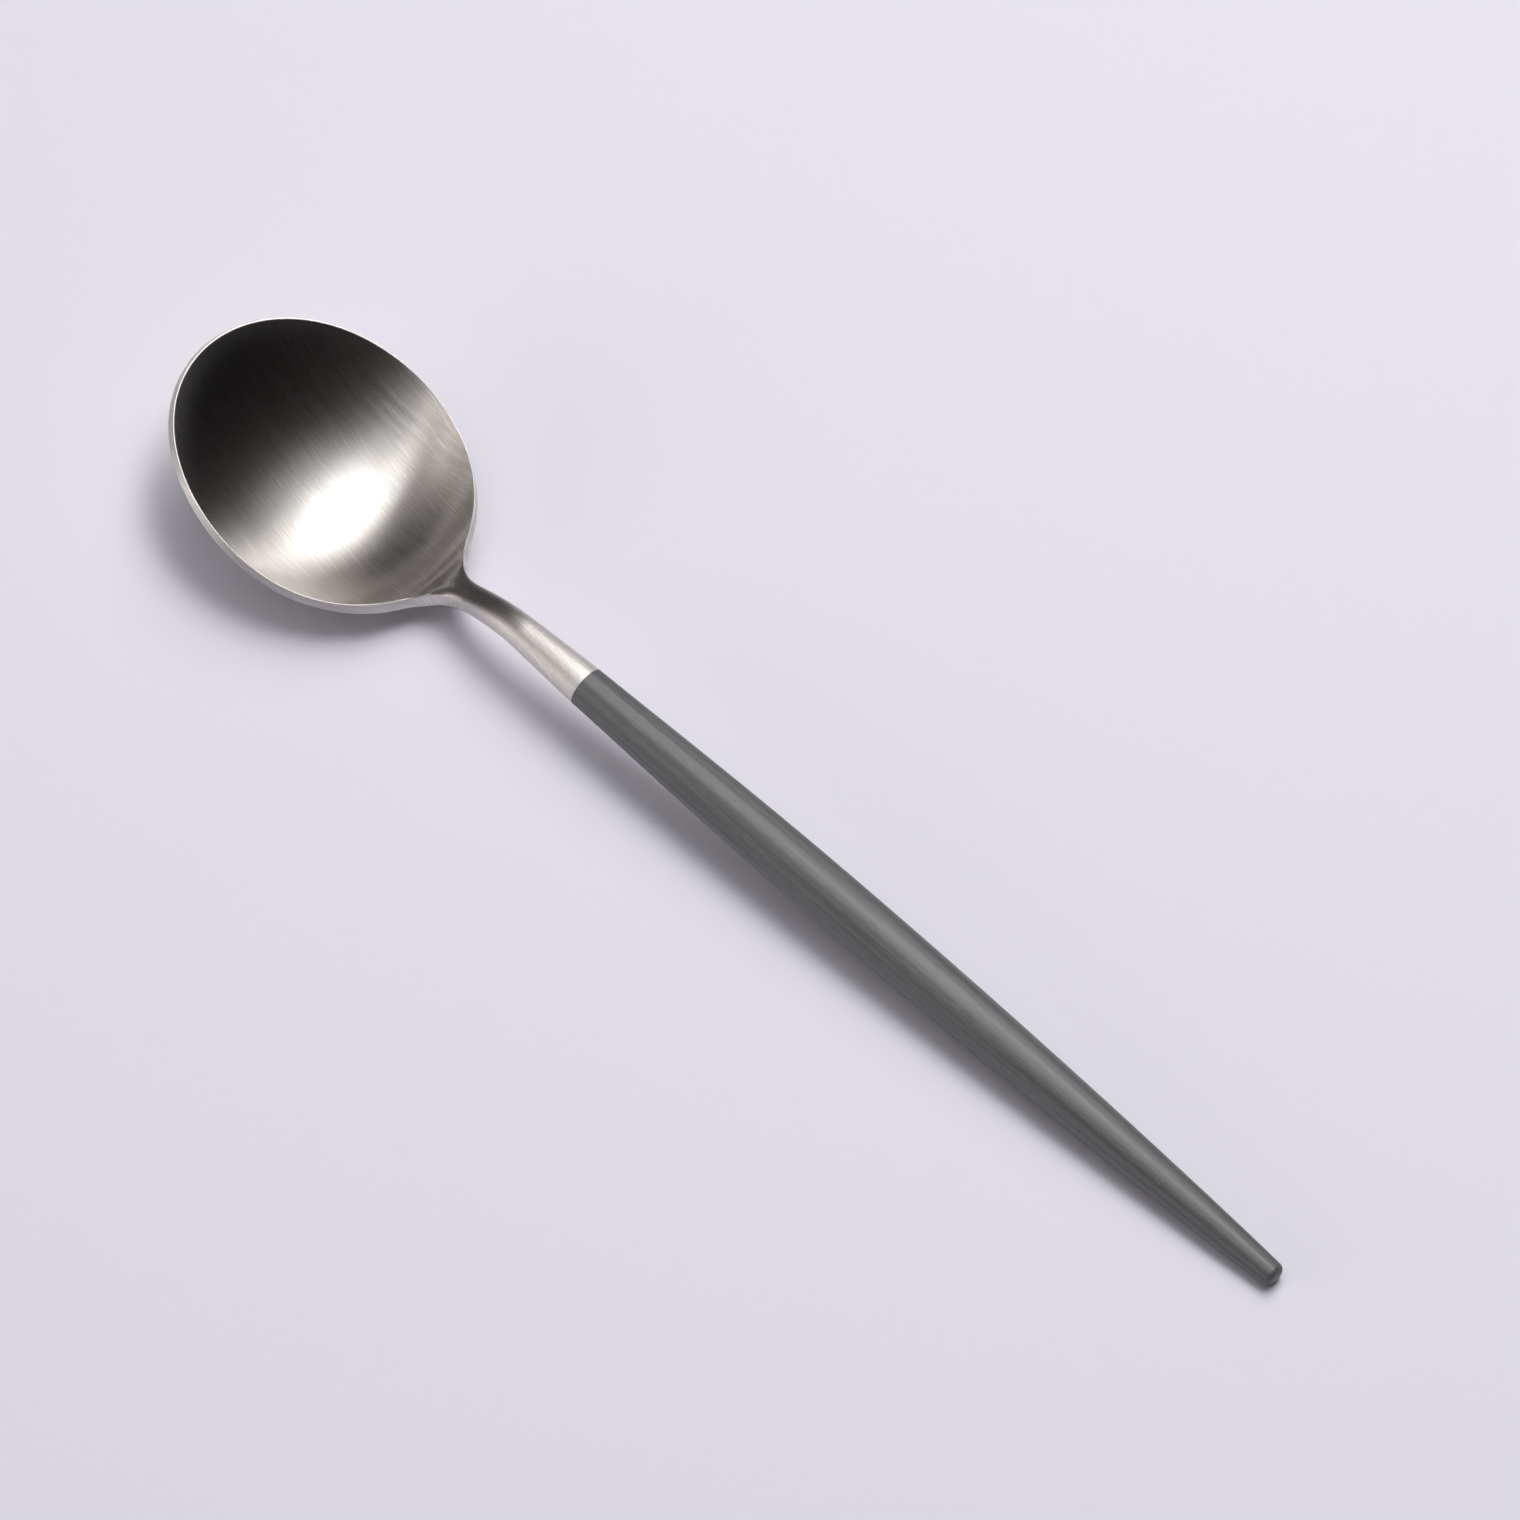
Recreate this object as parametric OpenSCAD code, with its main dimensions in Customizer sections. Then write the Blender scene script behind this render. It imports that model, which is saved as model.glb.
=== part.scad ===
// Soup spoon: one forged steel head with a hidden tang, glued into a turned resin handle.
// +X runs along the spoon towards the end of the handle, +Z is up, and the spoon is
// mirror-symmetric about the plane y = 0. It lies on the table z = 0 on the belly of its
// bowl and the end of its handle, with the origin under the middle of its length.

/* [Bowl] */
// Width of the bowl inside its rim
bowl_w = 40.5; // [36:0.5:46]
// Length of the rim from its widest place to the bowl's tip
front_len = 24.95; // [22:0.05:30]
// Length of the rim's rear ellipse, from its widest place towards the neck
rear_len = 23.3; // [20:0.1:28]
// Greatest depth of the bowl below its rim
bowl_depth = 10.5; // [7:0.1:13]
// Rise of the rim from the neck to the bowl's tip
rim_rise = 11.7; // [4:0.1:16]
// Height of the gentle S wave in the rim, seen from the side
rim_wave = 0.45; // [0:0.05:1]
// Thickness of the bowl's wall
wall_t = 1.5; // [1.2:0.05:2.2]
// How far the ground edge cuts back into the wall, seen from above
edge_cut = 0.54; // [0.4:0.02:0.8]
// How much less it cuts back at the tip, and more at the neck: it is square to the sloping rim
edge_lean = 0.36; // [0:0.02:0.38]
// How full the bowl's walls are: 0 is a parabola
fullness_share = 0.25; // [0:0.05:0.5]

/* [Neck] */
// Length from the rear end of the rim's ellipse to the joint
neck_len = 30; // [26:0.5:36]
// Share of the rear ellipse after which the rim turns into the neck
root_share = 0.92; // [0.88:0.01:0.95]
// Length of the hollow curve from the rim to the waist
root_len = 14; // [12:0.5:17]
// Rise of the rim line from there to the waist, seen from the side
root_lift = 2.1; // [1.5:0.1:2.7]
// Width of the neck at its waist
waist_w = 3.8; // [3:0.1:5]
// Height of the neck at its waist
waist_h = 3.7; // [3:0.1:5]
// Length of straight round neck before the joint
straight_len = 12; // [8:0.5:13]
// Diameter of the neck and the handle at their joint
joint_d = 6.4; // [5.8:0.1:7.6]

/* [Handle] */
// Length of the handle along its axis
handle_len = 135.5; // [110:0.5:160]
// Greatest diameter of the handle
handle_d = 8.44; // [7.6:0.02:10]
// Share of its length at which the handle is thickest
belly_share = 0.36; // [0.25:0.01:0.5]
// Diameter of the handle at its end, before rounding
end_d = 3.6; // [3:0.1:5]
// Radius of the rounding at the handle's end
end_round = 1.1; // [0.6:0.1:1.4]
// Angle at which the handle falls towards its end
handle_fall = 3.4; // [2:0.1:5]

/* [Tang] */
// Diameter of the tang
tang_d = 3.2; // [2.6:0.1:3.8]
// Length of the tang beyond the joint
tang_len = 44; // [30:1:60]
// Width of each keying groove
groove_w = 2; // [1:0.1:3]
// Depth of each keying groove
groove_depth = 0.35; // [0.2:0.05:0.6]
// Number of keying grooves
groove_count = 4; // [1:1:6]
// Thickness of the adhesive round the tang
glue_t = 0.3; // [0.2:0.05:0.5]
// Adhesive beyond the end of the tang
glue_end = 2; // [1:0.5:4]

/* [Hidden] */
$fn = 96;

// Counts of steps in the head's mesh: the odd count across gives the belly a narrow flat to rest on
top_steps = 17;
side_steps = 6;
front_steps = 18;
rear_steps = 15;
neck_steps = 24;
// Share of a ring's turn that its top face covers on the round neck
top_turn_share = 0.3;
// Slope of the neck's foot as a share of the bowl's own slope there
ramp_share = 0.6;
// Length over which the rim line turns up into the neck, as a share of the hollow curve's
rim_turn_share = 0.2;
// How square the neck is at its waist: 2 is round
waist_square_share = 5;
round_share = 2;
// How quickly the neck thickens from its waist to the joint
flare_share = 1.2;
// Places between the rim and the joint, as shares of the lengths there
blend_share = 0.6;
thicken_share = 0.55;
// How much of the neck's extra thickness the rim takes
rim_thick_share = 0.5;
// How quickly the handle swells and thins
swell_share = 1.12;
thin_share = 0.82;
handle_steps = 40;
round_steps = 6;
groove_pitch = (tang_len - groove_w) / (groove_count + 1);

// Plan of the rim
half_w = bowl_w / 2;
widest_x = -(neck_len + rear_len);
tip_x = widest_x - front_len;
root_x = widest_x + root_share * rear_len;
waist_x = root_x + blend_share * root_len;
root_half_w = half_w * sqrt(1 - pow(root_share, 2));
root_taper = half_w * root_share / sqrt(1 - pow(root_share, 2)) / rear_len;
root_power = root_taper * root_len / (root_half_w - waist_w / 2);
probe = bowl_w / 1000;

function ramp(from, to, x) = min(1, max(0, (x - from) / (to - from)));
function smooth(t) = t * t * (3 - 2 * t);
function signed_pow(v, p) = sign(v) * pow(abs(v), p);

// Half width of the waist and the round neck, without the hollow curve at the root
function flare(x) = 1 - pow(1 - ramp(waist_x, 0, x), flare_share);
function neck_half_w(x) = waist_w / 2 + (joint_d - waist_w) / 2 * flare(x);
function neck_half_h(x) = waist_h / 2 + (joint_d - waist_h) / 2 * flare(x);
function root_curve(x) = (root_half_w - waist_w / 2) * pow(1 - ramp(root_x, root_x + root_len, x), root_power);

// Square of the outline's half width, which runs on smoothly past the bowl's tip
function ellipse_place(x) = (x - widest_x) / (x < widest_x ? front_len : rear_len);
function outline_sq(x) = x < root_x
    ? pow(half_w, 2) * (1 - pow(ellipse_place(x), 2))
    : pow(neck_half_w(x) + root_curve(x), 2);
function outline(x) = sqrt(max(0, outline_sq(x)));
function unit(v) = v / norm(v);
// Direction in plan from the rim into the bowl: along x, and across towards the middle
function inward(x) = x < root_x
    ? unit([-ellipse_place(x) / (x < widest_x ? front_len : rear_len), outline(x) / pow(half_w, 2)])
    : unit([(outline(x + probe) - outline(x - probe)) / (2 * probe), 1]);

// Top surface of the bowl, measured from the rim's height at the root
rim_fall = (rim_rise - 2 * PI * rim_wave) / (root_x - tip_x);
rim_turn = rim_turn_share * root_len;
rim_bend = (root_lift + rim_fall * (waist_x - root_x)) / (waist_x - root_x - rim_turn / 2);
function rim_place(x) = (root_x - x) / (root_x - tip_x);
function turned(s) = s < rim_turn ? pow(s, 3) / pow(rim_turn, 2) * (1 - s / rim_turn / 2) : s - rim_turn / 2;
function rim_z(x) = x < root_x
    ? rim_rise * rim_place(x) - rim_wave * sin(360 * rim_place(x))
    : rim_bend * turned(x - root_x) - rim_fall * (x - root_x);
function fill(q) = q * (1 + fullness_share * (1 - q));
function bowl_z(x, y) = rim_z(x) - bowl_depth * fill((outline_sq(x) - y * y) / pow(half_w, 2));
function bowl_normal(x, y) = unit([
    (bowl_z(x - probe, y) - bowl_z(x + probe, y)) / (2 * probe),
    (bowl_z(x, y - probe) - bowl_z(x, y + probe)) / (2 * probe),
    1]);
// The wall thickens towards the neck, most of all along the middle
function wall(x, across) = wall_t + (waist_h - wall_t)
    * smooth(ramp(root_x - thicken_share * root_len, root_x + thicken_share * root_len, x))
    * (1 - (1 - rim_thick_share) * across * across);
function bowl_under(x, across) = let(
    in_dir = inward(x),
    cut_back = edge_cut - edge_lean * in_dir[0],
    px = x + cut_back * in_dir[0],
    py = across * max(0, outline(x) - cut_back * in_dir[1]))
    [px, py, bowl_z(px, py)] - wall(x, across) * bowl_normal(px, py);

// Heights: the lowest point of the belly and the end of the handle both lie on z = 0
front_xs = [for (i = [1:front_steps - 1]) widest_x - front_len * cos(90 * i / front_steps)];
root_turn = asin(root_share);
rear_xs = [for (i = [0:rear_steps - 1]) widest_x + rear_len * sin(root_turn * i / rear_steps)];
neck_xs = [for (i = [0:neck_steps]) root_x * (1 - i / neck_steps)];
belly_low = min([for (x = concat(front_xs, rear_xs)) bowl_under(x, 1 / top_steps)[2]]);
rim_base = -belly_low;

function handle_r(s) = let(place = s / handle_len) place < belly_share
    ? joint_d / 2 + (handle_d - joint_d) / 2 * pow(sin(90 * place / belly_share), swell_share)
    : end_d / 2 + (handle_d - end_d) / 2
        * pow(max(0, cos(90 * (place - belly_share) / (1 - belly_share))), thin_share);
round_start = handle_len - end_round;
end_face_r = handle_r(round_start) - end_round;
handle_outline = concat(
    [for (i = [0:handle_steps]) let(s = round_start * i / handle_steps) [handle_r(s), s]],
    [for (i = [1:round_steps]) let(turn = 90 * i / round_steps)
        [end_face_r + end_round * cos(turn), round_start + end_round * sin(turn)]]);
joint_z = max([for (p = handle_outline) p[1] * sin(handle_fall) + p[0] * cos(handle_fall)]);
handle_end_x = round_start * cos(handle_fall) + end_face_r * sin(handle_fall) + end_round;
bowl_end_x = bowl_under(tip_x, 0)[0];
middle_x = (handle_end_x + bowl_end_x) / 2;

// Middle line of the neck: a smooth curve from the bowl's foot to the straight neck
foot_z = rim_base + bowl_z(root_x, 0) - waist_h / 2;
foot_slope = ramp_share * (bowl_z(root_x + probe, 0) - bowl_z(root_x - probe, 0)) / (2 * probe);
straight_z = joint_z + straight_len * tan(handle_fall);
curve_len = -straight_len - root_x;
function neck_z(x) = x > -straight_len
    ? joint_z - x * tan(handle_fall)
    : let(t = (x - root_x) / curve_len)
        foot_z * (1 + t * t * (2 * t - 3)) + straight_z * smooth(t)
        + curve_len * (foot_slope * t * pow(1 - t, 2) - tan(handle_fall) * t * t * (t - 1));
function neck_lean(x) = x > -straight_len
    ? -handle_fall
    : atan((neck_z(x + probe) - neck_z(x - probe)) / (2 * probe));
function squareness(x) = round_share + (waist_square_share - round_share)
    * (1 - smooth(ramp(waist_x - blend_share * straight_len, -straight_len, x)));
// A point of the neck's ring at a turn from the right-hand side, 90 degrees being the top
function neck_point(x, turn) = let(
    p = round_share / squareness(x),
    across = outline(x) * signed_pow(cos(turn), p),
    up = neck_half_h(x) * signed_pow(sin(turn), p),
    lean = neck_lean(x))
    [x - up * sin(lean), across, neck_z(x) + up * cos(lean)];

// One ring of the head: top face from -y to +y, right side, underside, left side
top_turn = 180 * top_turn_share * 2;
side_turn = 180 - top_turn;
function blend(x) = smooth(ramp(root_x, waist_x, x));
function mixed(a, b, t) = a * (1 - t) + b * t;
function top_point(x, k) = let(across = 2 * k / top_steps - 1) mixed(
    [x, across * outline(x), rim_base + bowl_z(x, across * outline(x))],
    neck_point(x, 90 - across * top_turn / 2),
    blend(x));
function under_point(x, k) = let(across = 2 * k / top_steps - 1) mixed(
    bowl_under(x, across) + [0, 0, rim_base],
    neck_point(x, -90 + across * top_turn / 2),
    blend(x));
function side_point(x, k, side) = let(t = k / side_steps) mixed(
    mixed(top_point(x, side > 0 ? top_steps : 0), under_point(x, side > 0 ? top_steps : 0), t),
    let(p = neck_point(x, side_turn * (0.5 - t))) [p[0], side * p[1], p[2]],
    blend(x));
function ring(x) = concat(
    [for (k = [0:top_steps]) top_point(x, k)],
    [for (k = [1:side_steps - 1]) side_point(x, k, 1)],
    [for (k = [top_steps:-1:0]) under_point(x, k)],
    [for (k = [side_steps - 1:-1:1]) side_point(x, k, -1)]);
ring_size = 2 * (top_steps + side_steps);
tip_size = side_steps + 1;
ring_xs = concat(front_xs, rear_xs, neck_xs);
tip_points = [for (k = [0:side_steps])
    mixed([tip_x, 0, rim_base + bowl_z(tip_x, 0)], bowl_under(tip_x, 0) + [0, 0, rim_base], k / side_steps)];
head_points = concat(tip_points, [for (x = ring_xs) each ring(x)]);
function ring_index(i, k) = tip_size + i * ring_size + k % ring_size;
// First points of the right side, underside and left side in a ring
right_start = top_steps;
under_start = top_steps + side_steps;
left_start = under_start + top_steps;
head_faces = concat(
    [for (k = [0:top_steps - 1]) [0, ring_index(0, k + 1), ring_index(0, k)]],
    [for (k = [0:side_steps - 1]) [k, k + 1, ring_index(0, right_start + k + 1), ring_index(0, right_start + k)]],
    [for (k = [0:top_steps - 1])
        [side_steps, ring_index(0, under_start + k + 1), ring_index(0, under_start + k)]],
    [for (k = [0:side_steps - 1])
        [side_steps - k, side_steps - k - 1, ring_index(0, left_start + k + 1), ring_index(0, left_start + k)]],
    [for (i = [0:len(ring_xs) - 2], k = [0:ring_size - 1])
        [ring_index(i, k), ring_index(i, k + 1), ring_index(i + 1, k + 1), ring_index(i + 1, k)]],
    [[for (k = [0:ring_size - 1]) ring_index(len(ring_xs) - 1, k)]]);

tang_r = tang_d / 2;
tang_root = joint_d / 2;
bore_r = tang_r + glue_t;
bore_len = tang_len + glue_end;
function groove_start(i) = i * groove_pitch;

// Half section of the tang: its radius against the distance from the joint
module tang_section() {
    polygon(concat(
        [[0, -tang_root], [tang_r, -tang_root]],
        [for (i = [1:groove_count]) each [
            [tang_r, groove_start(i)],
            [tang_r - groove_depth, groove_start(i)],
            [tang_r - groove_depth, groove_start(i) + groove_w],
            [tang_r, groove_start(i) + groove_w]]],
        [[tang_r, tang_len - groove_depth], [tang_r - groove_depth, tang_len], [0, tang_len]]));
}

// Places what is drawn upwards from the origin on the spoon's own axis, from the joint on
module on_axis() {
    translate([-middle_x, 0, joint_z]) rotate([0, 90 + handle_fall, 0]) children();
}

module steel_head() {
    color("silver") {
        translate([-middle_x, 0, 0]) polyhedron(points = head_points, faces = head_faces, convexity = 6);
        on_axis() rotate_extrude() tang_section();
    }
}

module handle() {
    color("dimgray") on_axis() difference() {
        rotate_extrude() polygon(concat([[0, 0]], handle_outline, [[0, handle_len]]));
        translate([0, 0, -glue_t]) cylinder(r = bore_r, h = bore_len + glue_t);
    }
}

module tang_adhesive() {
    color("goldenrod") on_axis() rotate_extrude() difference() {
        square([bore_r, bore_len]);
        tang_section();
    }
}

steel_head();
handle();
tang_adhesive();
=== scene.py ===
"""A soup spoon with a brushed steel head and a grey resin handle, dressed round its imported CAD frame."""
import math

import bpy
from mathutils import Matrix, Vector


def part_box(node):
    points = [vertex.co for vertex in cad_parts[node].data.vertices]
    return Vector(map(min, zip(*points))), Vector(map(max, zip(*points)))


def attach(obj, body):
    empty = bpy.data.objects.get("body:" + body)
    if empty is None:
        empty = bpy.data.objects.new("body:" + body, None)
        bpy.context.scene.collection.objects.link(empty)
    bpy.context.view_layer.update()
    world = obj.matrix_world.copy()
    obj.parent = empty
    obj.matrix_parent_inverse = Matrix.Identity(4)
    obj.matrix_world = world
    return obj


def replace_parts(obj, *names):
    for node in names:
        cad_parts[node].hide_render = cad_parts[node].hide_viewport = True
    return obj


MM = 0.001
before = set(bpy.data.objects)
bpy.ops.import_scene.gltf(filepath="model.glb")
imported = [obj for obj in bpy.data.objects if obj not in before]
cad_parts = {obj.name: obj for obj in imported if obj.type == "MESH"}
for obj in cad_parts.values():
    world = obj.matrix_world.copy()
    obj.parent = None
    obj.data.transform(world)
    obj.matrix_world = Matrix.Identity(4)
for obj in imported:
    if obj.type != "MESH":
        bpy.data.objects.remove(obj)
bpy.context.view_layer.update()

# Driving sizes of the head in millimetres, the same as the CAD's
BOWL_W = 40.5
FRONT_LEN = 24.95
REAR_LEN = 23.3
BOWL_DEPTH = 10.5
RIM_RISE = 11.7
RIM_WAVE = 0.45
WALL_T = 1.5
EDGE_CUT = 0.54
EDGE_LEAN = 0.36
FULLNESS = 0.25
NECK_LEN = 30.0
ROOT_SHARE = 0.92
ROOT_LEN = 14.0
ROOT_LIFT = 2.1
WAIST_W = 3.8
WAIST_H = 3.7
STRAIGHT_LEN = 12.0
JOINT_D = 6.4
HANDLE_LEN = 135.5
HANDLE_D = 8.44
BELLY_SHARE = 0.36
END_D = 3.6
END_ROUND = 1.1
HANDLE_FALL = math.radians(3.4)
TANG_D = 3.2
TANG_LEN = 44.0
GROOVE_W = 2.0
GROOVE_DEPTH = 0.35
GROOVE_COUNT = 4
GROOVE_PITCH = (TANG_LEN - GROOVE_W) / (GROOVE_COUNT + 1)
GLUE_T = 0.3
GLUE_END = 2.0

# How the neck's foot, waist and flare run, as in the CAD
RAMP_SHARE = 0.6
RIM_TURN_SHARE = 0.2
WAIST_SQUARE = 5.0
ROUND = 2.0
FLARE = 1.2
BLEND_SHARE = 0.6
THICKEN_SHARE = 0.55
RIM_THICK_SHARE = 0.5
SWELL = 1.12
THIN = 0.82

# Fine detail and mesh density of the dressed pieces
EDGE_SOFT = 0.14
ROOT_SOFT = 5.0
SOFT_TAPS = 8
CORNER_SHARE = 0.3
STEEL_SOFT = 0.03
SEAM_SOFT = 0.05
SHARP_ANGLE = math.radians(35)
TOP_STEPS = 72
SIDE_STEPS = 14
FRONT_STEPS = 56
REAR_STEPS = 44
NECK_STEPS = 110
HANDLE_STEPS = 160
HANDLE_SIDES = 128
ROUND_STEPS = 14
FACE_STEPS = 8

# Plan of the rim
HALF_W = BOWL_W / 2
WIDEST_X = -(NECK_LEN + REAR_LEN)
TIP_X = WIDEST_X - FRONT_LEN
ROOT_X = WIDEST_X + ROOT_SHARE * REAR_LEN
WAIST_X = ROOT_X + BLEND_SHARE * ROOT_LEN
ROOT_SINE = math.sqrt(1 - ROOT_SHARE ** 2)
ROOT_HALF_W = HALF_W * ROOT_SINE
ROOT_TAPER = HALF_W * ROOT_SHARE / ROOT_SINE / REAR_LEN
ROOT_POWER = ROOT_TAPER * ROOT_LEN / (ROOT_HALF_W - WAIST_W / 2)
RIM_FALL = (RIM_RISE - 2 * math.pi * RIM_WAVE) / (ROOT_X - TIP_X)
RIM_TURN = RIM_TURN_SHARE * ROOT_LEN
RIM_BEND = (ROOT_LIFT + RIM_FALL * (WAIST_X - ROOT_X)) / (WAIST_X - ROOT_X - RIM_TURN / 2)

# Step over which slopes are measured
PROBE = BOWL_W / 1000


def ramp(start, end, x):
    return min(1.0, max(0.0, (x - start) / (end - start)))


def smooth(t):
    """Share that eases in and out."""
    return t * t * (3 - 2 * t)


def smoother(t):
    """Share that eases in and out without a sudden bend at its ends."""
    return t ** 3 * (10 - t * (15 - 6 * t))


def signed_pow(v, p):
    return math.copysign(abs(v) ** p, v)


def flare(x):
    return 1 - (1 - ramp(WAIST_X, 0, x)) ** FLARE


def neck_half_w(x):
    return WAIST_W / 2 + (JOINT_D - WAIST_W) / 2 * flare(x)


def neck_half_h(x):
    return WAIST_H / 2 + (JOINT_D - WAIST_H) / 2 * flare(x)


def outline_sq(x):
    """Square of the rim's half width, which runs on smoothly past the bowl's tip."""
    if x < ROOT_X:
        place = (x - WIDEST_X) / (FRONT_LEN if x < WIDEST_X else REAR_LEN)
        return HALF_W ** 2 * (1 - place ** 2)
    hollow = (1 - ramp(ROOT_X, ROOT_X + ROOT_LEN, x)) ** ROOT_POWER
    return (neck_half_w(x) + (ROOT_HALF_W - WAIST_W / 2) * hollow) ** 2


def outline(x):
    return math.sqrt(max(0.0, outline_sq(x)))


def soft_outline_sq(x):
    """Weighted mean of the square over a short way, so that the bowl runs softly into the neck."""
    taps = range(-SOFT_TAPS, SOFT_TAPS + 1)
    total = sum((SOFT_TAPS + 1 - abs(i)) * outline_sq(x + ROOT_SOFT * i / SOFT_TAPS) for i in taps)
    return total / (SOFT_TAPS + 1) ** 2


def inward(x):
    """Direction in plan from the rim into the bowl: along x, and across towards the middle."""
    if x < ROOT_X:
        length = FRONT_LEN if x < WIDEST_X else REAR_LEN
        v = Vector((-(x - WIDEST_X) / length ** 2, outline(x) / HALF_W ** 2))
    else:
        v = Vector(((outline(x + PROBE) - outline(x - PROBE)) / (2 * PROBE), 1))
    return v.normalized()


def rim_z(x):
    """Height of the rim line, which falls along the bowl and turns up beyond the root."""
    beyond = x - ROOT_X
    if beyond < 0:
        place = -beyond / (ROOT_X - TIP_X)
        return RIM_RISE * place - RIM_WAVE * math.sin(2 * math.pi * place)
    t = beyond / RIM_TURN
    turned = RIM_TURN * t ** 3 * (1 - t / 2) if t < 1 else beyond - RIM_TURN / 2
    return RIM_BEND * turned - RIM_FALL * beyond


def bowl_z(x, y, width_sq=soft_outline_sq):
    """Height of the bowl's top surface over the rim's height at the root."""
    q = (width_sq(x) - y * y) / HALF_W ** 2
    return rim_z(x) - BOWL_DEPTH * q * (1 + FULLNESS * (1 - q))


def bowl_normal(x, y):
    dx = (bowl_z(x - PROBE, y) - bowl_z(x + PROBE, y)) / (2 * PROBE)
    dy = (bowl_z(x, y - PROBE) - bowl_z(x, y + PROBE)) / (2 * PROBE)
    return Vector((dx, dy, 1)).normalized()


def wall(x, across):
    start = ROOT_X - THICKEN_SHARE * ROOT_LEN
    extra = (WAIST_H - WALL_T) * smooth(ramp(start, ROOT_X + THICKEN_SHARE * ROOT_LEN, x))
    return WALL_T + extra * (1 - (1 - RIM_THICK_SHARE) * across * across)


def inset_place(x, across, inset):
    """Plan place at a share of the width across the bowl, drawn in from the rim."""
    into = inward(x)
    return x + inset * into[0], across * max(0.0, outline(x) - inset * into[1])


def bowl_top(x, across, inset=0.0):
    px, py = inset_place(x, across, inset)
    return Vector((px, py, bowl_z(px, py)))


def bowl_under(x, across, inset=0.0):
    cut_back = EDGE_CUT - EDGE_LEAN * inward(x)[0]
    px, py = inset_place(x, across, cut_back + inset)
    return Vector((px, py, bowl_z(px, py))) - wall(x, across) * bowl_normal(px, py)


def handle_r(s):
    place = s / HANDLE_LEN
    if place < BELLY_SHARE:
        swell = math.sin(math.pi / 2 * place / BELLY_SHARE) ** SWELL
        return JOINT_D / 2 + (HANDLE_D - JOINT_D) / 2 * swell
    thin = max(0.0, math.cos(math.pi / 2 * (place - BELLY_SHARE) / (1 - BELLY_SHARE))) ** THIN
    return END_D / 2 + (HANDLE_D - END_D) / 2 * thin


# Heights and places that follow from the CAD's own box
ROUND_START = HANDLE_LEN - END_ROUND
END_FACE_R = handle_r(ROUND_START) - END_ROUND
joint_z = max(
    s * math.sin(HANDLE_FALL) + handle_r(s) * math.cos(HANDLE_FALL)
    for s in [ROUND_START * i / HANDLE_STEPS for i in range(HANDLE_STEPS + 1)]
)
handle_end_x = ROUND_START * math.cos(HANDLE_FALL) + END_FACE_R * math.sin(HANDLE_FALL) + END_ROUND
middle_x = handle_end_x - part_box("handle")[1][0] / MM
tip_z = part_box("steel_head")[1][2] / MM
rim_base = tip_z - bowl_z(TIP_X, 0)
foot_z = tip_z + bowl_z(ROOT_X, 0, outline_sq) - bowl_z(TIP_X, 0, outline_sq) - WAIST_H / 2
foot_rise = bowl_z(ROOT_X + PROBE, 0, outline_sq) - bowl_z(ROOT_X - PROBE, 0, outline_sq)
foot_slope = RAMP_SHARE * foot_rise / (2 * PROBE)
straight_z = joint_z + STRAIGHT_LEN * math.tan(HANDLE_FALL)
curve_len = -STRAIGHT_LEN - ROOT_X


def neck_z(x):
    if x > -STRAIGHT_LEN:
        return joint_z - x * math.tan(HANDLE_FALL)
    t = (x - ROOT_X) / curve_len
    ends = foot_z * (1 + t * t * (2 * t - 3)) + straight_z * smooth(t)
    return ends + curve_len * (foot_slope * t * (1 - t) ** 2 - math.tan(HANDLE_FALL) * t * t * (t - 1))


def neck_lean(x):
    if x > -STRAIGHT_LEN:
        return -HANDLE_FALL
    return math.atan((neck_z(x + PROBE) - neck_z(x - PROBE)) / (2 * PROBE))


def neck_point(x, turn):
    """Point of the neck's ring at a turn from its right-hand side; a quarter turn is the top."""
    flat_from = WAIST_X - BLEND_SHARE * STRAIGHT_LEN
    square = ROUND + (WAIST_SQUARE - ROUND) * (1 - smooth(ramp(flat_from, -STRAIGHT_LEN, x)))
    p = ROUND / square
    up = neck_half_h(x) * signed_pow(math.sin(turn), p)
    lean = neck_lean(x)
    across = outline(x) * signed_pow(math.cos(turn), p)
    return Vector((x - up * math.sin(lean), across, neck_z(x) + up * math.cos(lean)))


# Rings of the head: top face from -y to +y, right side, underside, left side
TOP_TURN = math.pi * 0.6
SIDE_TURN = math.pi - TOP_TURN
RIGHT_START = TOP_STEPS
UNDER_START = TOP_STEPS + SIDE_STEPS
LEFT_START = 2 * TOP_STEPS + SIDE_STEPS
RING_SIZE = 2 * (TOP_STEPS + SIDE_STEPS)
AXIS = Vector((math.cos(HANDLE_FALL), 0, -math.sin(HANDLE_FALL)))
AXIS_UP = Vector((math.sin(HANDLE_FALL), 0, math.cos(HANDLE_FALL)))
JOINT = Vector((0, 0, joint_z))


def blend(x):
    return smoother(ramp(ROOT_X, WAIST_X, x))


def top_point(x, across):
    low = bowl_top(x, across, EDGE_SOFT) + Vector((0, 0, rim_base))
    return low.lerp(neck_point(x, math.pi / 2 - across * TOP_TURN / 2), blend(x))


def under_point(x, across):
    low = bowl_under(x, across, EDGE_SOFT) + Vector((0, 0, rim_base))
    return low.lerp(neck_point(x, across * TOP_TURN / 2 - math.pi / 2), blend(x))


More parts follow.
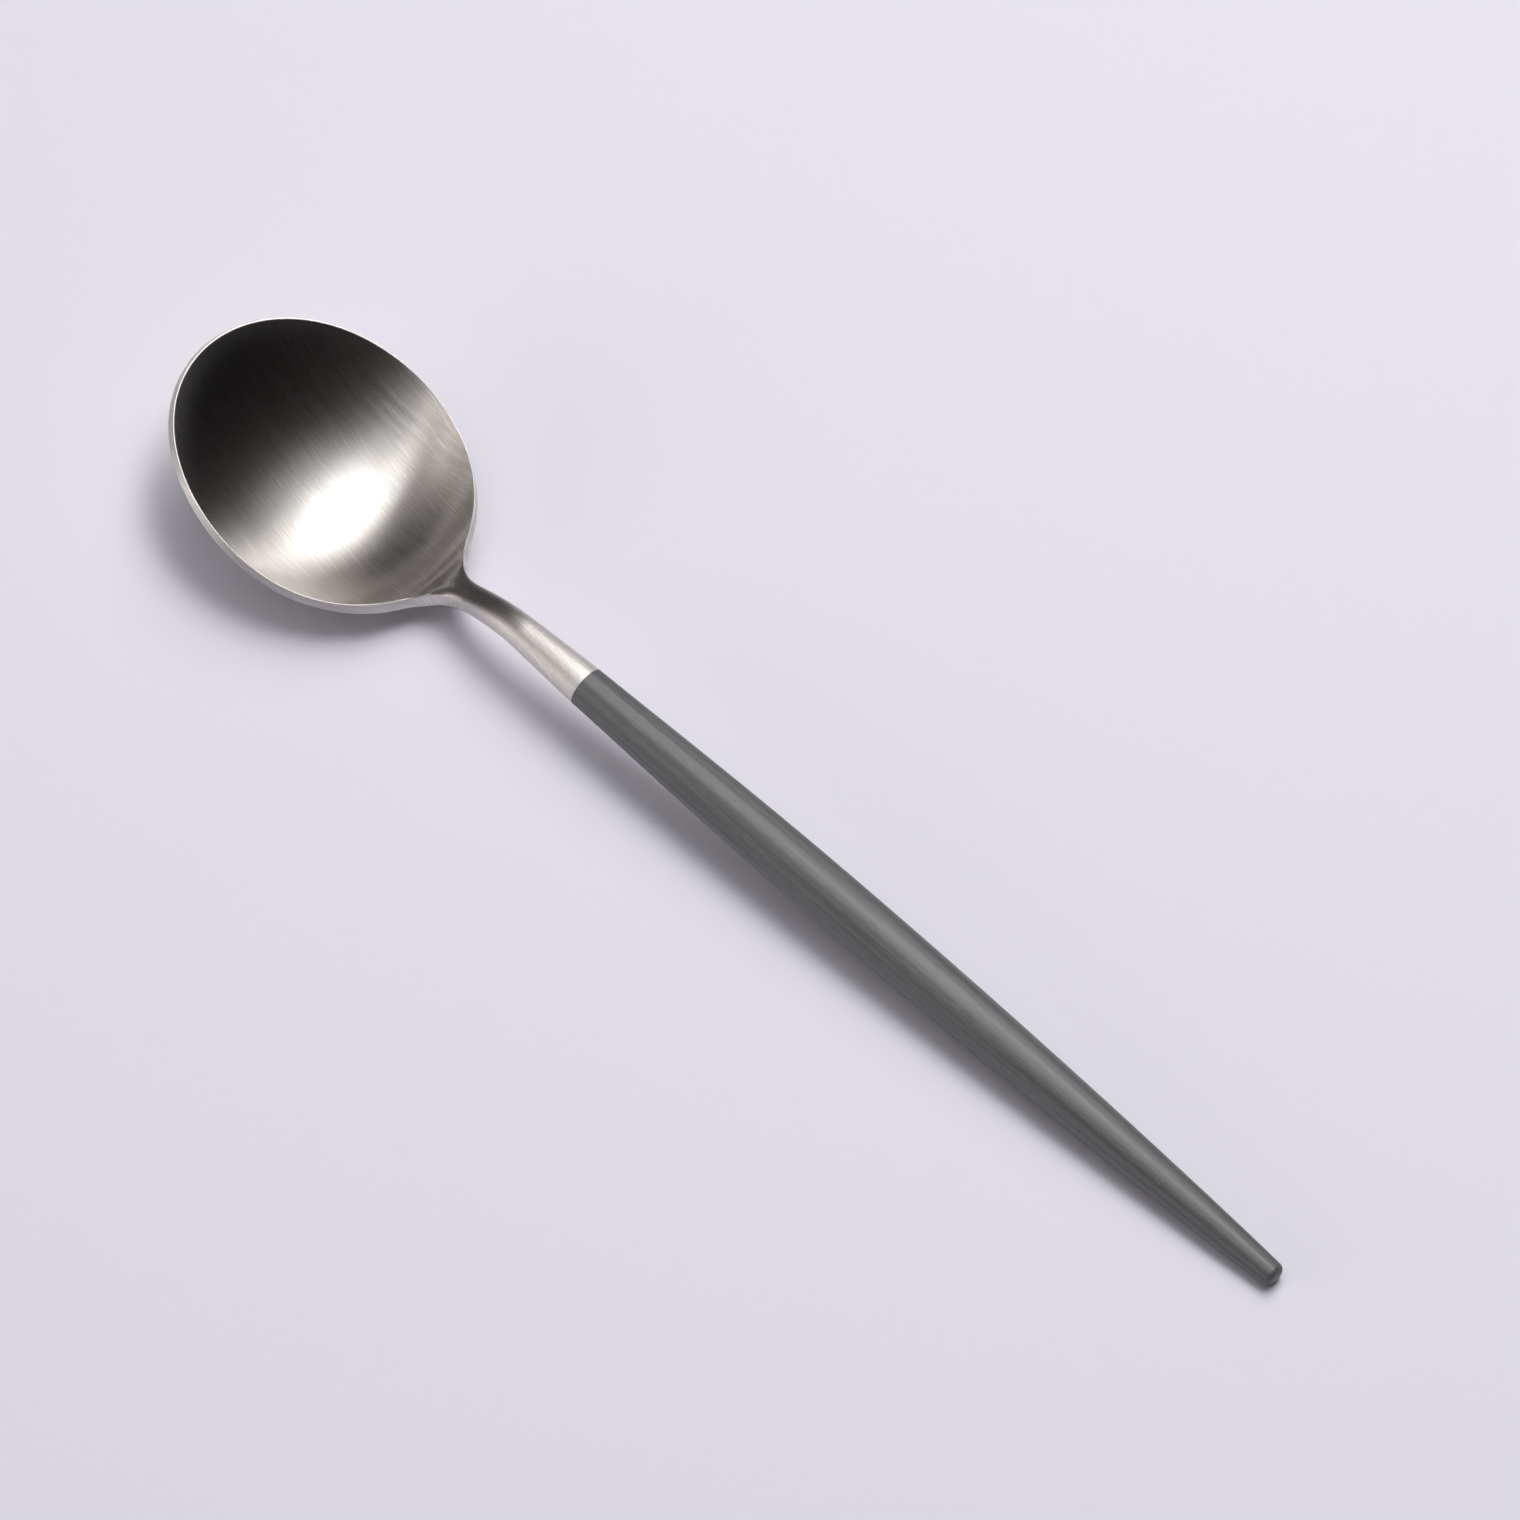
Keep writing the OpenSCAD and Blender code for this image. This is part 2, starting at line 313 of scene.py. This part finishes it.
def cut_edge(x, side):
    """Points down the ground edge of the bowl, with a soft corner at each end."""
    top = bowl_top(x, side)
    under = bowl_under(x, side)
    down = (under - top).normalized()
    top_in, under_in = bowl_top(x, side, EDGE_SOFT), bowl_under(x, side, EDGE_SOFT)
    points = []
    for k in range(SIDE_STEPS + 1):
        t = k / SIDE_STEPS
        if t < CORNER_SHARE:
            s = t / CORNER_SHARE
            a, b, c = top_in, top, top + EDGE_SOFT * down
        elif t > 1 - CORNER_SHARE:
            s = (t - 1 + CORNER_SHARE) / CORNER_SHARE
            a, b, c = under - EDGE_SOFT * down, under, under_in
        else:
            s = (t - CORNER_SHARE) / (1 - 2 * CORNER_SHARE)
            a, c = top + EDGE_SOFT * down, under - EDGE_SOFT * down
            b = (a + c) / 2
        points.append(a * (1 - s) ** 2 + b * 2 * s * (1 - s) + c * s * s)
    return points


def side_points(x, side):
    """Points between the top face and the underside on one side of a ring."""
    points = []
    for k, edge in enumerate(cut_edge(x, side)):
        turn = SIDE_TURN * (0.5 - k / SIDE_STEPS)
        p = neck_point(x, turn)
        p[1] *= side
        points.append((edge + Vector((0, 0, rim_base))).lerp(p, blend(x)))
    return points


def ring(x):
    shares = [2 * k / TOP_STEPS - 1 for k in range(TOP_STEPS + 1)]
    right, left = side_points(x, 1), side_points(x, -1)
    points = [top_point(x, s) for s in shares] + right[1:-1]
    return points + [under_point(x, s) for s in reversed(shares)] + left[-2:0:-1]


def ring_turn(k):
    """Angle round the neck from the middle of its top to a ring's point, which never turns back."""
    if k <= RIGHT_START:
        return TOP_TURN * (k / TOP_STEPS - 0.5)
    if k <= UNDER_START:
        return TOP_TURN / 2 + SIDE_TURN * (k - RIGHT_START) / SIDE_STEPS
    if k <= LEFT_START:
        return TOP_TURN / 2 + SIDE_TURN + TOP_TURN * (k - UNDER_START) / TOP_STEPS
    return 1.5 * TOP_TURN + SIDE_TURN + SIDE_TURN * (k - LEFT_START) / SIDE_STEPS


class Skin:
    """Gathers the points of a closed skin, and its faces with the brushing's place at each corner."""

    def __init__(self):
        self.points, self.faces, self.places = [], [], []

    def add(self, points):
        self.points += points
        return len(self.points) - len(points)

    def face(self, corners, places):
        self.faces.append(corners)
        self.places += places

    def turned(self, start, profile, turns):
        """Carries a ring on along the spoon's axis: a profile of radius and distance, flat at its end."""
        size = len(turns)
        along, last = 0.0, profile[0]
        for r, s in profile:
            across = [AXIS_UP * math.cos(a) + Vector((0, math.sin(a), 0)) for a in turns]
            new = self.add([JOINT + AXIS * s + r * way for way in across])
            if start is not None:
                step = max(STEEL_SOFT, math.hypot(r - last[0], s - last[1]))
                for k in range(size):
                    a = math.remainder(turns[k], 2 * math.pi)
                    b = a + (turns[(k + 1) % size] - turns[k]) % (2 * math.pi)
                    v, w = a * HANDLE_D / 2, b * HANDLE_D / 2
                    after = (k + 1) % size
                    self.face((start + k, new + k, new + after, start + after),
                              [(along, v), (along + step, v), (along + step, w), (along, w)])
                along += step
            start, last = new, (r, s)
        r, s = last
        centre = self.add([JOINT + AXIS * s])
        wedge = r * (turns[1] - turns[0])
        for k in range(size):
            after = (k + 1) % size
            self.face((start + k, centre, start + after), [(along, 0), (along + r, 0), (along, wedge)])

    def finish(self, name, material):
        """Makes a smooth mesh whose brushing map runs along the spoon and then across it, in metres."""
        mesh = bpy.data.meshes.new(name)
        mesh.from_pydata([to_frame(p) for p in self.points], [], self.faces)
        layer = mesh.uv_layers.new(name="brushing")
        layer.uv.foreach_set("vector", [c * MM for place in self.places for c in place])
        mesh.shade_smooth()
        mesh.set_sharp_from_angle(angle=SHARP_ANGLE)
        mesh.materials.append(material)
        piece = bpy.data.objects.new(name, mesh)
        bpy.context.scene.collection.objects.link(piece)
        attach(piece, "root")
        return piece


def to_frame(p):
    """Place in the part's frame in metres; the belly is flat where it rests."""
    return (p[0] - middle_x) * MM, p[1] * MM, max(0.0, p[2]) * MM


def head_xs():
    """Places of the head's rings, close together at the bowl's tip, and ending at the joint."""
    turn = math.asin(ROOT_SHARE)
    xs = [WIDEST_X - FRONT_LEN * math.cos(math.pi / 2 * i / FRONT_STEPS) for i in range(1, FRONT_STEPS)]
    xs += [WIDEST_X + REAR_LEN * math.sin(turn * i / REAR_STEPS) for i in range(REAR_STEPS)]
    return xs + [ROOT_X * (1 - i / NECK_STEPS) for i in range(NECK_STEPS + 1)]


def tang_profile():
    """Radius and distance from the joint of the tang: its ring grooves and its end."""
    points = [(JOINT_D / 2 - STEEL_SOFT, 0.0), (TANG_D / 2, 0.0)]
    for i in range(1, GROOVE_COUNT + 1):
        start = i * GROOVE_PITCH
        low = TANG_D / 2 - GROOVE_DEPTH
        points += [(TANG_D / 2, start), (low, start), (low, start + GROOVE_W), (TANG_D / 2, start + GROOVE_W)]
    return points + [(TANG_D / 2, TANG_LEN - GROOVE_DEPTH), (TANG_D / 2 - GROOVE_DEPTH, TANG_LEN)]


def make_head(material):
    """The bowl, its ground edge, the neck and the hidden tang as one closed skin."""
    skin = Skin()
    xs = head_xs()
    tip_start = skin.add(side_points(TIP_X, 1))
    starts = [skin.add(ring(x)) for x in xs]
    # Distance along the rim, counted back from the root, for the brushing of the ground edge
    rim = [skin.points[tip_start]] + [skin.points[start] for start in starts]
    rim_along = [0.0]
    for a, b in zip(rim, rim[1:]):
        rim_along.append(rim_along[-1] + (b - a).length)
    at_root = rim_along[[x >= ROOT_X for x in xs].index(True) + 1]

    def place(i, k, part_k):
        """Brushing's place at a ring's point, for a face of the ring that starts at part_k."""
        x, y = xs[i], skin.points[starts[i] + k % RING_SIZE][1]
        turn = ring_turn(k)
        if ring_turn(part_k) >= math.pi:
            turn -= 2 * math.pi
        flat = (x, y)
        if RIGHT_START <= part_k < UNDER_START or part_k >= LEFT_START:
            steps_down = k - RIGHT_START if part_k < UNDER_START else LEFT_START + SIDE_STEPS - k
            along = ROOT_X + rim_along[i + 1] - at_root if x < ROOT_X else x
            flat = (along, WALL_T * steps_down / SIDE_STEPS)
        share = blend(x)
        return flat[0], flat[1] * (1 - share) + turn * JOINT_D / 2 * share

    first = starts[0]
    tip_along = ROOT_X - at_root
    for k in range(TOP_STEPS):
        u = UNDER_START + k
        skin.face((tip_start, first + k, first + k + 1), [(TIP_X, 0), place(0, k, k), place(0, k + 1, k)])
        skin.face((tip_start + SIDE_STEPS, first + u, first + u + 1),
                  [(TIP_X, 0), place(0, u, u), place(0, u + 1, u)])
    for k in range(SIDE_STEPS):
        r, l = RIGHT_START + k, LEFT_START + k
        upper, lower = WALL_T * k / SIDE_STEPS, WALL_T * (k + 1) / SIDE_STEPS
        skin.face((tip_start + k, first + r, first + r + 1, tip_start + k + 1),
                  [(tip_along, upper), place(0, r, r), place(0, r + 1, r), (tip_along, lower)])
        upper, lower = WALL_T - upper, WALL_T - lower
        corner = tip_start + SIDE_STEPS - k
        skin.face((corner, first + l, first + (l + 1) % RING_SIZE, corner - 1),
                  [(tip_along, upper), place(0, l, l), place(0, l + 1, l), (tip_along, lower)])
    for i in range(len(xs) - 1):
        a, b = starts[i], starts[i + 1]
        for k in range(RING_SIZE):
            n = (k + 1) % RING_SIZE
            skin.face((a + k, b + k, b + n, a + n),
                      [place(i, k, k), place(i + 1, k, k), place(i + 1, k + 1, k), place(i, k + 1, k)])
    turns = [ring_turn(k) for k in range(RING_SIZE)]
    for k in range(RING_SIZE):
        skin.points[starts[-1] + k] -= STEEL_SOFT * AXIS
    skin.turned(starts[-1], tang_profile(), turns)
    return skin.finish("brushed_head", material)


def make_handle(material):
    """The turned handle: a blind bore, a smooth spindle with a soft shoulder and a blunt round end."""
    bore_r, bore_len = TANG_D / 2 + GLUE_T, TANG_LEN + GLUE_END
    profile = [(bore_r, bore_len), (bore_r, 0.0)]
    profile += [(JOINT_D / 2 - SEAM_SOFT, 0.0), (handle_r(SEAM_SOFT), SEAM_SOFT)]
    for i in range(1, HANDLE_STEPS + 1):
        s = ROUND_START * i / HANDLE_STEPS
        profile.append((handle_r(s), s))
    for i in range(1, ROUND_STEPS + 1):
        turn = math.pi / 2 * i / ROUND_STEPS
        profile.append((END_FACE_R + END_ROUND * math.cos(turn), ROUND_START + END_ROUND * math.sin(turn)))
    for i in range(1, FACE_STEPS):
        profile.append((END_FACE_R * (1 - i / FACE_STEPS), HANDLE_LEN))
    turns = [2 * math.pi * k / HANDLE_SIDES - math.pi for k in range(HANDLE_SIDES)]
    skin = Skin()
    skin.turned(None, profile, turns)
    bottom = skin.add([JOINT + AXIS * bore_len])
    wedge = bore_r * 2 * math.pi / HANDLE_SIDES
    for k in range(HANDLE_SIDES):
        skin.face(((k + 1) % HANDLE_SIDES, bottom, k), [(0, 0), (bore_r, 0), (0, wedge)])
    return skin.finish("resin_handle", material)


# Range that holds most of a noise's values, and a quarter turn as the shader counts turns
NOISE_LOW = 0.3
NOISE_HIGH = 0.7
QUARTER_TURN = 0.25


class Nodes:
    """Adds nodes to a material and links them, one call a node."""

    def __init__(self, name):
        self.material = bpy.data.materials.new(name)
        self.material.use_nodes = True
        self.tree = self.material.node_tree
        self.shader = self.tree.nodes["Principled BSDF"]

    def add(self, kind, inputs=(), **settings):
        node = self.tree.nodes.new(kind)
        for key, value in settings.items():
            setattr(node, key, value)
        for key, value in dict(inputs).items():
            if isinstance(value, bpy.types.NodeSocket):
                self.tree.links.new(value, node.inputs[key])
            else:
                node.inputs[key].default_value = value
        return node

    def surface(self, **inputs):
        for key, value in inputs.items():
            name = key.replace("_", " ")
            if isinstance(value, bpy.types.NodeSocket):
                self.tree.links.new(value, self.shader.inputs[name])
            else:
                self.shader.inputs[name].default_value = value

    def brushing(self):
        """Place on the brushing's map: along the spoon and across it, in metres."""
        return self.add("ShaderNodeUVMap", uv_map="brushing").outputs["UV"]

    def mapped(self, place, **changes):
        return self.add("ShaderNodeMapping", {"Vector": place, **changes}).outputs["Vector"]

    def streaks(self, along, across, detail=4, roughness=0.6, turn=0):
        """Noise drawn out along the spoon, or at a turn to it: along and across are in features a metre."""
        place = self.brushing()
        if turn:
            place = self.mapped(place, Rotation=(0, 0, turn))
        scaled = self.mapped(place, Scale=(along, across, 1))
        noise = self.add("ShaderNodeTexNoise", {"Vector": scaled, "Scale": 1, "Detail": detail,
                                                "Roughness": roughness}, noise_dimensions="2D")
        return noise.outputs["Fac"]

    def neck_share(self, bowl, neck):
        """Value that runs from the bowl's to the neck's, from the bowl's root to well past the waist."""
        along = self.add("ShaderNodeSeparateXYZ", {"Vector": self.brushing()}).outputs["X"]
        return self.spread(along, bowl, neck, ROOT_X * MM, (WAIST_X + STRAIGHT_LEN) * MM)

    def specks(self, size, detail=3):
        """Noise without a direction, with features of a size in metres."""
        place = self.add("ShaderNodeTexCoord").outputs["Object"]
        noise = self.add("ShaderNodeTexNoise", {"Vector": place, "Scale": 1 / size, "Detail": detail})
        return noise.outputs["Fac"]

    def spread(self, value, low, high, start=NOISE_LOW, end=NOISE_HIGH):
        """Maps a value between start and end onto the range from low to high."""
        node = self.add("ShaderNodeMapRange", {"Value": value, "From Min": start, "From Max": end,
                                               "To Min": low, "To Max": high})
        return node.outputs["Result"]

    def sums(self, a, b):
        return self.add("ShaderNodeMath", {0: a, 1: b}, operation="ADD").outputs[0]

    def mix(self, share, a, b):
        """Value between two others, for a share from none to one."""
        return self.add("ShaderNodeMix", {0: share, 2: a, 3: b}).outputs[0]

    def tones(self, value, dark, light):
        """Colour between two tones, for a noise value."""
        node = self.add("ShaderNodeValToRGB", {"Fac": value})
        first, last = node.color_ramp.elements
        first.position, first.color = NOISE_LOW, (*dark, 1)
        last.position, last.color = NOISE_HIGH, (*light, 1)
        return node.outputs["Color"]

    def grain(self, height, strength, distance):
        """Fine relief, and a gloss that is drawn out across the brushing."""
        tangent = self.add("ShaderNodeTangent", direction_type="UV_MAP", uv_map="brushing")
        self.relief(height, strength, distance)
        self.surface(Tangent=tangent.outputs["Tangent"], Anisotropic_Rotation=QUARTER_TURN)

    def relief(self, height, strength, distance):
        bump = self.add("ShaderNodeBump", {"Height": height, "Strength": strength, "Distance": distance})
        self.surface(Normal=bump.outputs["Normal"])


# Dark and light tone of each material, and the slope of the slanting scratches in radians
STEEL_TONES = (0.50, 0.476, 0.460), (0.70, 0.670, 0.646)
RESIN_TONES = (0.066, 0.066, 0.069), (0.122, 0.122, 0.124)
ADHESIVE_TONES = (0.50, 0.38, 0.17), (0.62, 0.50, 0.27)
SLANT = 0.22


def steel_material():
    """Brushed steel; on the neck the brushing is shorter and its gloss rounder."""
    m = Nodes("satin_steel")
    long_lines = m.streaks(along=90, across=9000, detail=6)
    short_lines = m.streaks(along=1300, across=4200, detail=4, roughness=0.7)
    fine = m.mix(m.neck_share(bowl=0.12, neck=0.75), long_lines, short_lines)
    broad = m.streaks(along=25, across=1500, detail=3)
    sparse = m.streaks(along=160, across=4200, detail=2, roughness=0.4)
    scratches = m.spread(sparse, low=0, high=0.6, start=0.62, end=0.7)
    sparser = m.streaks(along=110, across=4200, detail=1, roughness=0.4, turn=SLANT)
    slanting = m.spread(sparser, low=0, high=0.8, start=0.66, end=0.7)
    m.grain(m.sums(fine, m.sums(scratches, slanting)), strength=0.14, distance=0.00001)
    m.surface(Base_Color=m.tones(m.sums(fine, slanting), *STEEL_TONES), Metallic=1.0,
              Roughness=m.spread(broad, low=0.36, high=0.42), Anisotropic=m.neck_share(bowl=0.94, neck=0.8))
    return m.material


def resin_material():
    """Satin grey resin with short fibres along the handle."""
    m = Nodes("satin_resin")
    fibres = m.streaks(along=420, across=7000, detail=4, roughness=0.7)
    broad = m.streaks(along=18, across=900, detail=3)
    cast = m.spread(m.sums(fibres, broad), low=0.2, high=0.8, start=0.8, end=1.2)
    m.grain(fibres, strength=0.5, distance=0.00003)
    m.surface(Base_Color=m.tones(cast, *RESIN_TONES), Roughness=m.spread(fibres, low=0.44, high=0.54),
              Anisotropic=0.4, Specular_IOR_Level=1.0)
    return m.material


def adhesive_material():
    """Cured amber adhesive with a slightly cloudy cast."""
    m = Nodes("cured_adhesive")
    cloud = m.specks(size=0.002)
    m.relief(m.specks(size=0.0004), strength=0.2, distance=0.00003)
    m.surface(Base_Color=m.tones(cloud, *ADHESIVE_TONES), Roughness=m.spread(cloud, low=0.3, high=0.45))
    return m.material


# The photograph's view, seen from above with the spoon's length turned in plan. The distance is in metres, and the
# half width a share of it. The sensor and the place looked at, counted from the joint, are in millimetres
CAMERA_ELEVATION = math.radians(61.5)
SPOON_TURN = math.radians(42.8)
CAMERA_DISTANCE = 0.988
CAMERA_HALF_WIDTH = 0.11429
SENSOR = 36.0
VIEW_X = 23.62
VIEW_Y = 12.33
TARGET = Vector(((VIEW_X - middle_x) * MM, VIEW_Y * MM, 0))
RIGHT = Vector((math.cos(SPOON_TURN), math.sin(SPOON_TURN), 0))
FRONT = Vector((math.sin(SPOON_TURN), -math.cos(SPOON_TURN), 0))
UP = Vector((0, 0, 1))


def make_camera():
    data = bpy.data.cameras.new("camera")
    data.sensor_width = SENSOR
    data.lens = SENSOR / 2 / CAMERA_HALF_WIDTH
    camera = bpy.data.objects.new("camera", data)
    bpy.context.scene.collection.objects.link(camera)
    way = FRONT * math.cos(CAMERA_ELEVATION) + UP * math.sin(CAMERA_ELEVATION)
    camera.location = TARGET + CAMERA_DISTANCE * way
    camera.rotation_euler = (-way).to_track_quat("-Z", "Y").to_euler()
    bpy.context.scene.camera = camera


# Half width of the floor in metres, and its paper
FLOOR_HALF = 2.0
FLOOR_TONE = (0.882, 0.860, 0.955, 1)
FLOOR_ROUGHNESS = 0.9


def make_floor():
    m = Nodes("floor_paper")
    m.surface(Base_Color=FLOOR_TONE, Roughness=FLOOR_ROUGHNESS)
    corners = [(x * FLOOR_HALF, y * FLOOR_HALF, 0) for x, y in ((-1, -1), (1, -1), (1, 1), (-1, 1))]
    mesh = bpy.data.meshes.new("floor")
    mesh.from_pydata(corners, [], [(0, 1, 2, 3)])
    mesh.materials.append(m.material)
    floor = bpy.data.objects.new("floor", mesh)
    bpy.context.scene.collection.objects.link(floor)


def make_light(name, direction, distance, size, power, colour):
    """A soft oval light, towards a direction that counts right, front and up from the photograph's view."""
    data = bpy.data.lights.new(name, "AREA")
    data.shape = "ELLIPSE"
    data.size, data.size_y = size
    data.energy = power
    data.color = colour
    lamp = bpy.data.objects.new(name, data)
    bpy.context.scene.collection.objects.link(lamp)
    way = (RIGHT * direction[0] + FRONT * direction[1] + UP * direction[2]).normalized()
    along = (Vector((1, 0, 0)) - way * way[0]).normalized()
    turn = Matrix((along, way.cross(along), way)).transposed().to_4x4()
    lamp.matrix_world = Matrix.Translation(TARGET + way * distance) @ turn


# Brightness of the room against direction along the spoon: a faint light band past the bowl, dark elsewhere
SKY_BAND = [
    (-1.0, 0.01), (-0.78, 0.02), (-0.6, 0.10), (-0.45, 0.11), (-0.28, 0.04), (0.1, 0.02), (0.3, 0.012),
    (0.5, 0.002), (1.0, 0.001),
]
SKY_TINT = (1.0, 0.95, 1.06)
SKY_STRENGTH = 1.0


def make_world():
    world = bpy.data.worlds.new("studio")
    world.use_nodes = True
    tree = world.node_tree
    background = tree.nodes["Background"]
    place = tree.nodes.new("ShaderNodeTexCoord")
    along = tree.nodes.new("ShaderNodeVectorMath")
    along.operation = "DOT_PRODUCT"
    along.inputs[1].default_value = (1, 0, 0)
    tree.links.new(place.outputs["Generated"], along.inputs[0])
    band = tree.nodes.new("ShaderNodeMapRange")
    tree.links.new(along.outputs["Value"], band.inputs["Value"])
    band.inputs["From Min"].default_value = -1
    ramp_node = tree.nodes.new("ShaderNodeValToRGB")
    tree.links.new(band.outputs["Result"], ramp_node.inputs["Fac"])
    stops = ramp_node.color_ramp.elements
    for i, (reach, level) in enumerate(SKY_BAND):
        position = (reach + 1) / 2
        if i >= len(stops):
            stops.new(position)
        stops[i].position = position
        stops[i].color = [level * share for share in SKY_TINT] + [1]
    tree.links.new(ramp_node.outputs["Color"], background.inputs["Color"])
    background.inputs["Strength"].default_value = SKY_STRENGTH
    bpy.context.scene.world = world


# Name, direction, distance and size in metres, power in watts and colour of each light. Its size is along the
# spoon and across it
WHITE = (1.0, 1.0, 1.0)
WARM = (1.0, 0.95, 0.90)
LIGHTS = [
    ("key", (0.22, -0.10, 1.0), 1.2, (0.4, 0.4), 2.8, WHITE),
    ("key_back", (0.25, -0.35, 1.0), 1.2, (0.45, 0.45), 2.7, WHITE),
    ("key_right", (0.42, -0.15, 1.0), 1.2, (0.5, 0.5), 1.2, WHITE),
    ("band", (-0.15, -0.14, 1.0), 1.2, (0.45, 2.2), 4.2, WHITE),
    ("back_left", (0.16, -0.54, 0.83), 1.2, (0.5, 0.9), 1.5, WARM),
    ("fill", (0.17, -0.62, 0.77), 1.5, (0.9, 0.9), 2.1, WHITE),
    ("left", (-0.90, 0.35, 0.25), 1.5, (0.8, 0.8), 2.1, WARM),
    ("low_left", (-0.95, 0.10, 0.30), 1.5, (0.8, 0.8), 1.5, WARM),
]

make_camera()
make_floor()
make_world()
for light in LIGHTS:
    make_light(*light)
bpy.context.scene.view_settings.view_transform = "Standard"
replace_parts(make_head(steel_material()), "steel_head")
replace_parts(make_handle(resin_material()), "handle")
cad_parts["tang_adhesive"].material_slots[0].material = adhesive_material()
